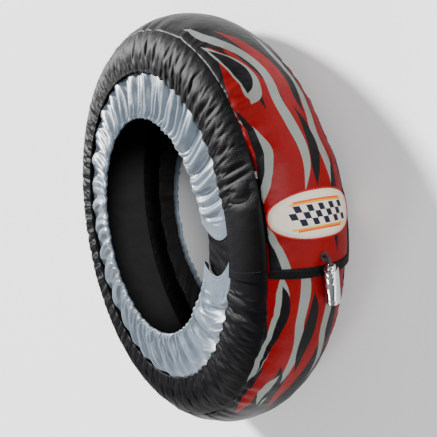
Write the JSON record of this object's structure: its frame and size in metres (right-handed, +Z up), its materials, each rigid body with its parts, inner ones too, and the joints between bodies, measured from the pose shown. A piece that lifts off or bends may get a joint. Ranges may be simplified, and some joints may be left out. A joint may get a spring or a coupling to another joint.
{
  "type": "motorcycle tire warmer",
  "caption": "Padded electric heating strap closed round a front motorcycle tire, with gathered skirts over both flanks, an oval patch and a round metal power connector.",
  "frame": {"origin": "on the surface that the warmer lies on, under the middle of its whole outline", "axes": "+Z up along the wheel axis, -Y towards the closure flap with its oval patch and connector, +X to the right as seen from the closure"},
  "size_m": [0.6196, 0.634, 0.1512],
  "materials": {
    "printed_cloth": "satin",
    "black_nylon": "satin",
    "grey_satin": "satin",
    "patch_cloth": "satin",
    "wadding": "matte",
    "heating_cloth": "matte",
    "lining_cloth": "matte",
    "elastic": "matte",
    "closure_tape": "matte",
    "resistance_wire": "satin",
    "bright_chrome": "polished",
    "black_plastic": "matte",
    "lead_rubber": "matte",
    "contact_brass": "polished",
    "sensor_steel": "satin"
  },
  "bodies": {
    "root": {"tread_cover": "printed_cloth", "insulation_wadding": "wadding", "heating_mat": "heating_cloth", "heating_wire": "resistance_wire", "liner": "lining_cloth", "heat_switch_1": "sensor_steel", "heat_switch_2": "sensor_steel", "heat_fuse": "sensor_steel", "side_band_upper": "black_nylon", "side_band_lower": "black_nylon", "skirt_upper": "grey_satin", "skirt_lower": "grey_satin", "gather_elastic_upper": "elastic", "gather_elastic_lower": "elastic", "hem_elastic_upper": "elastic", "hem_elastic_lower": "elastic", "closure_tongue_upper": "black_nylon", "closure_tongue_lower": "black_nylon", "loop_tape_upper": "closure_tape", "loop_tape_lower": "closure_tape", "hook_tape_upper": "closure_tape", "hook_tape_lower": "closure_tape", "flap_binding": "black_nylon", "badge_patch": "patch_cloth", "lead_eyelet": "black_plastic", "power_lead": "lead_rubber", "connector_shell": "bright_chrome", "lead_nut": "bright_chrome", "connector_insert": "black_plastic", "contact_pin_1": "contact_brass", "contact_pin_2": "contact_brass", "contact_pin_3": "contact_brass"}
  },
  "joints": []
}
